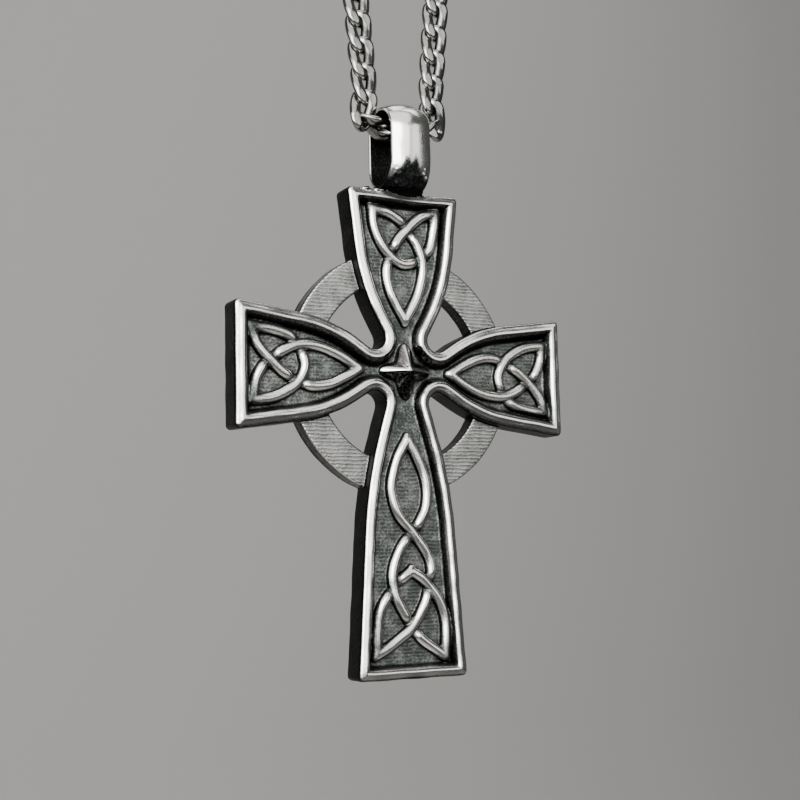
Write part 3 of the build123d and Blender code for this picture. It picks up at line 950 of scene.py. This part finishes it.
def linear(code):
    """An sRGB hex colour as linear values with alpha."""
    parts = [int(code[i:i + 2], 16) / 255 for i in (1, 3, 5)]
    return tuple(c / 12.92 if c <= 0.04045 else ((c + 0.055) / 1.055) ** 2.4 for c in parts) + (1,)


def new_material(name):
    """A material with an empty node tree, and the tree."""
    material = bpy.data.materials.new(name)
    material.use_nodes = True
    material.node_tree.nodes.clear()
    return material, material.node_tree


def add_node(tree, kind, inputs=(), **settings):
    """Adds a node with settings and inputs (by name or in order; values, nodes or outputs)."""
    made = tree.nodes.new(kind)
    for name, value in settings.items():
        setattr(made, name, value)
    named = inputs if isinstance(inputs, dict) else dict(enumerate(inputs))
    for name, value in named.items():
        if isinstance(value, bpy.types.Node):
            value = value.outputs[0]
        if isinstance(value, bpy.types.NodeSocket):
            tree.links.new(value, made.inputs[name])
        else:
            made.inputs[name].default_value = value
    return made


def end_material(tree, looks):
    """Closes a tree with a principled shader that has these looks."""
    shader = add_node(tree, "ShaderNodeBsdfPrincipled", looks)
    add_node(tree, "ShaderNodeOutputMaterial", {"Surface": shader})


POLISHED = linear("#edebe6")
print("polished silver is", [round(c, 3) for c in POLISHED[:3]])

# %% [markdown]
# The field and the ring also show fine level lines, left by the layers of the printed wax that
# the casting was made from. They are about a third of a millimetre apart, and polishing has
# brightened their crests, most of all on the ring. A wave texture draws a line every
# 0.314 / scale units, so its scale is worked out from that spacing.

# %% Marks and textures of the antiqued silver
LAYER_MM, GRAIN_MM, BLOTCH_MM = 0.29, 0.17, 1.3
WAVE_PERIOD = 0.314
silver, tree = new_material("antiqued_sterling_silver")
place = add_node(tree, "ShaderNodeTexCoord").outputs["Object"]
grey_mark, black_mark, line_mark = (
    add_node(tree, ATTRIBUTE, attribute_name=name).outputs["Fac"]
    for name in ("patina", "black_and_shade", "layered"))
blotch = add_node(tree, NOISE, {
    "Vector": place, "Scale": 1 / (BLOTCH_MM * MM), "Detail": 4.0}).outputs["Fac"]
grain = add_node(tree, NOISE, {
    "Vector": place, "Scale": 1 / (GRAIN_MM * MM), "Detail": 2.0}).outputs["Fac"]
layers = add_node(tree, "ShaderNodeTexWave", {
    "Vector": place, "Scale": WAVE_PERIOD / (LAYER_MM * MM), "Distortion": 2.4, "Detail": 3.0,
    "Detail Scale": 1.2}, wave_type="BANDS", bands_direction="Z").outputs["Fac"]
print("level lines every", LAYER_MM, "mm, grain of", GRAIN_MM, "mm")

# %% [markdown]
# How dark a place is starts from its mark. Blotches and specks break it up, less so where it is
# polished, and the crests of the level lines are rubbed bright.

# %% How dark the silver is
STREAK_GAIN = 2.6
crests = add_node(tree, MATH, (layers, 3.0), operation="POWER")
streaks = add_node(tree, MATH, (crests, grain), operation="MULTIPLY")
streaks = add_node(tree, MATH, (streaks, line_mark), operation="MULTIPLY")
uneven = add_node(tree, MATH, (blotch, 0.6, -0.3), operation="MULTIPLY_ADD")
speck = add_node(tree, MATH, (grain, 0.5, -0.25), operation="MULTIPLY_ADD")
mottle = add_node(tree, MATH, (uneven, speck), operation="ADD")
dark = add_node(tree, MATH, (grey_mark, mottle), operation="ADD", use_clamp=True)
hold = add_node(tree, MATH, (grey_mark, 0.42), operation="ADD", use_clamp=True)
dark = add_node(tree, MATH, (dark, hold), operation="MULTIPLY")
dark = add_node(tree, MATH, (streaks, -STREAK_GAIN, dark), operation="MULTIPLY_ADD",
                use_clamp=True)
print("dark takes", len(tree.nodes), "nodes so far")

# %% Colour, roughness and relief of the silver
LINE_GAIN, RELIEF_MM = 2.6, 0.05
shades = {0: layers, 6: linear("#3b403d"), 7: linear("#3f4441")}
tone = add_node(tree, MIX, shades, data_type="RGBA").outputs[2]
metal = {0: dark, 6: POLISHED, 7: tone}
colour = add_node(tree, MIX, metal, data_type="RGBA").outputs[2]
# The black mark holds black patina in the corners and painted shade on faces turned from the
# light; where it is high the colour goes to near black.
black = add_node(tree, MATH, (speck, black_mark, black_mark), operation="MULTIPLY_ADD",
                 use_clamp=True)
black_and_shade_mix = {0: black, 6: colour, 7: linear("#070707")}
colour = add_node(tree, MIX, black_and_shade_mix, data_type="RGBA").outputs[2]
rough = add_node(tree, MATH, (dark, 0.3, 0.19), operation="MULTIPLY_ADD")
clean = add_node(tree, MATH, (1.0, black), operation="SUBTRACT")
lines = add_node(tree, MATH, (layers, clean), operation="MULTIPLY")
line_height = add_node(tree, MATH, (line_mark, LINE_GAIN), operation="MULTIPLY")
lines = add_node(tree, MATH, (lines, line_height), operation="MULTIPLY")
unworn = add_node(tree, MATH, (grey_mark, 0.12), operation="ADD")
relief = add_node(tree, MATH, (grain, unworn, lines), operation="MULTIPLY_ADD")
bump = add_node(tree, "ShaderNodeBump", {
    "Height": relief, "Strength": 0.6, "Distance": RELIEF_MM * MM})
end_material(tree, {
    "Base Color": colour, "Roughness": rough, "Normal": bump, "Metallic": 1.0})
casting.data.materials.clear()
casting.data.materials.append(silver)
print("antiqued silver has", len(tree.nodes), "nodes")

# %% [markdown]
# ## Tumbled silver wire
# The chain is drawn wire of the same metal. It was tumbled bright and has darkened only between
# its links, so it needs less: a smoother metal, a little handling haze and the same dark layer
# where the marks say that nothing rubs.

# %% Chain silver
HAZE_MM, HAZE_RELIEF_MM = 0.5, 0.03
wire, tree = new_material("tumbled_sterling_silver_wire")
place = add_node(tree, "ShaderNodeTexCoord").outputs["Object"]
grey_mark = add_node(tree, ATTRIBUTE, attribute_name="patina").outputs["Fac"]
haze = add_node(tree, NOISE, {
    "Vector": place, "Scale": 1 / (HAZE_MM * MM), "Detail": 3.0}).outputs["Fac"]
uneven = add_node(tree, MATH, (haze, 0.5, -0.25), operation="MULTIPLY_ADD")
dark = add_node(tree, MATH, (grey_mark, uneven), operation="ADD", use_clamp=True)
metal = {0: dark, 6: linear("#a8a7a3"), 7: linear("#1c1e1d")}
colour = add_node(tree, MIX, metal, data_type="RGBA").outputs[2]
rough = add_node(tree, MATH, (dark, 0.3, 0.16), operation="MULTIPLY_ADD")
bump = add_node(tree, "ShaderNodeBump", {
    "Height": haze, "Strength": 0.25, "Distance": HAZE_RELIEF_MM * MM})
end_material(tree, {
    "Base Color": colour, "Roughness": rough, "Normal": bump, "Metallic": 1.0})
for piece in (chain, clasp):
    piece.data.materials.clear()
    piece.data.materials.append(wire)
print("tumbled silver has", len(tree.nodes), "nodes")

# %% [markdown]
# ## Camera
# The photograph was taken with a lens near 60 mm, from the left and a little below, close to the
# pendant. The camera's place was fitted to the cross's edges, so it is named here from the
# crossing, with the way it looks as a heading, a pitch and a small roll.

# %% Set up the camera
CAMERA_FROM_CROSSING = Vector((-50.43, -94.11, -14.48))
HEADING, PITCH_UP, ROLL = math.radians(27.98), math.radians(6.52), math.radians(-1.27)
LENS_MM, SENSOR_MM = 60.03, 36.0
ahead = Vector((math.sin(HEADING) * math.cos(PITCH_UP), math.cos(HEADING) * math.cos(PITCH_UP),
                math.sin(PITCH_UP)))
level = ahead.cross(Vector((0, 0, 1))).normalized()
above = level.cross(ahead)
right = level * math.cos(ROLL) + above * math.sin(ROLL)
upward = right.cross(ahead)
camera_data = bpy.data.cameras.new("camera")
camera_data.lens = LENS_MM
camera_data.sensor_width = SENSOR_MM
camera_data.clip_start = 0.005
camera_data.clip_end = 10.0
camera = bpy.data.objects.new("camera", camera_data)
camera.matrix_world = (Matrix.Translation((crossing + CAMERA_FROM_CROSSING) * MM)
                       @ Matrix((right, upward, -ahead)).transposed().to_4x4())
bpy.context.scene.collection.objects.link(camera)
bpy.context.scene.camera = camera
print("camera stands", round(CAMERA_FROM_CROSSING.length), "mm from the crossing")

# %% [markdown]
# ## Floor and backdrop
# A plain sheet of pale paper runs along the floor and curves up behind, so no line cuts the
# background.

# %% Lay the sheet
FLOOR_Z, SHEET_FRONT, BACK_Y, SHEET_TOP = -0.8, -2.0, 1.0, 1.6
SWEEP_R, SWEEP_STEPS, SHEET_HALF = 0.4, 12, 4.0
sheet_line = [(SHEET_FRONT, FLOOR_Z), (BACK_Y - SWEEP_R, FLOOR_Z)]
for t in np.linspace(0, math.pi / 2, SWEEP_STEPS)[1:]:
    sheet_line.append((BACK_Y - SWEEP_R + SWEEP_R * math.sin(t),
                       FLOOR_Z + SWEEP_R - SWEEP_R * math.cos(t)))
sheet_line.append((BACK_Y, SHEET_TOP))
sheet_points = [(side * SHEET_HALF, y, z) for y, z in sheet_line for side in (-1, 1)]
sheet_faces = [(2 * i, 2 * i + 1, 2 * i + 3, 2 * i + 2) for i in range(len(sheet_line) - 1)]
backdrop = mesh_piece("floor_sheet", sheet_points, sheet_faces)
paper, tree = new_material("matt_white_paper")
end_material(tree, {"Base Color": linear("#d0cecb"), "Roughness": 0.9})
backdrop.data.materials.append(paper)
print("sheet is", 2 * SHEET_HALF, "m wide")

# %% [markdown]
# ## Light
# Silver shows what it mirrors, so the lights do the drawing. One wide soft box to the left
# whitens every crest that turns that way, with a brighter core that gives the white a middle. A
# box overhead draws the tops of the ridges, a weaker one to the right front lifts the flats, and
# the last only washes the sheet. The room itself is dim, which keeps the undersides dark.

# %% Place the lights
def soft_light(name, place, aim, size, radiance):
    """A soft box at a place from the crossing, in metres, with a given brightness."""
    light = bpy.data.lights.new(name, "AREA")
    light.shape = "RECTANGLE"
    light.size, light.size_y = size
    light.energy = radiance * math.pi * size[0] * size[1]
    lamp = bpy.data.objects.new(name, light)
    lamp.location = crossing * MM + Vector(place)
    lamp.rotation_euler = (Vector(aim) - Vector(place)).to_track_quat("-Z", "Y").to_euler()
    bpy.context.scene.collection.objects.link(lamp)


soft_light("box_left", (-0.3, -0.42, 0.12), (0, 0, 0), (1.2, 0.5), 3.0)
soft_light("core_left", (-0.2, -0.38, 0.1), (0, 0, 0), (0.3, 0.3), 10.0)
soft_light("box_overhead", (-0.09, -0.26, 0.46), (0, 0, 0), (0.6, 0.46), 1.6)
soft_light("box_right_front", (0.36, -0.54, 0.14), (0, 0, 0), (0.3, 0.4), 1.7)
soft_light("wash_on_sheet", (0.4, 0.2, 1.1), (0.5, 0.9, -0.1), (0.7, 0.7), 2.7)
world = bpy.data.worlds.new("room")
world.use_nodes = True
bpy.context.scene.world = world
world.node_tree.nodes["Background"].inputs["Color"].default_value = linear("#8a8d90")
world.node_tree.nodes["Background"].inputs["Strength"].default_value = 0.25
print("four soft boxes, a wash and a pale sheet")
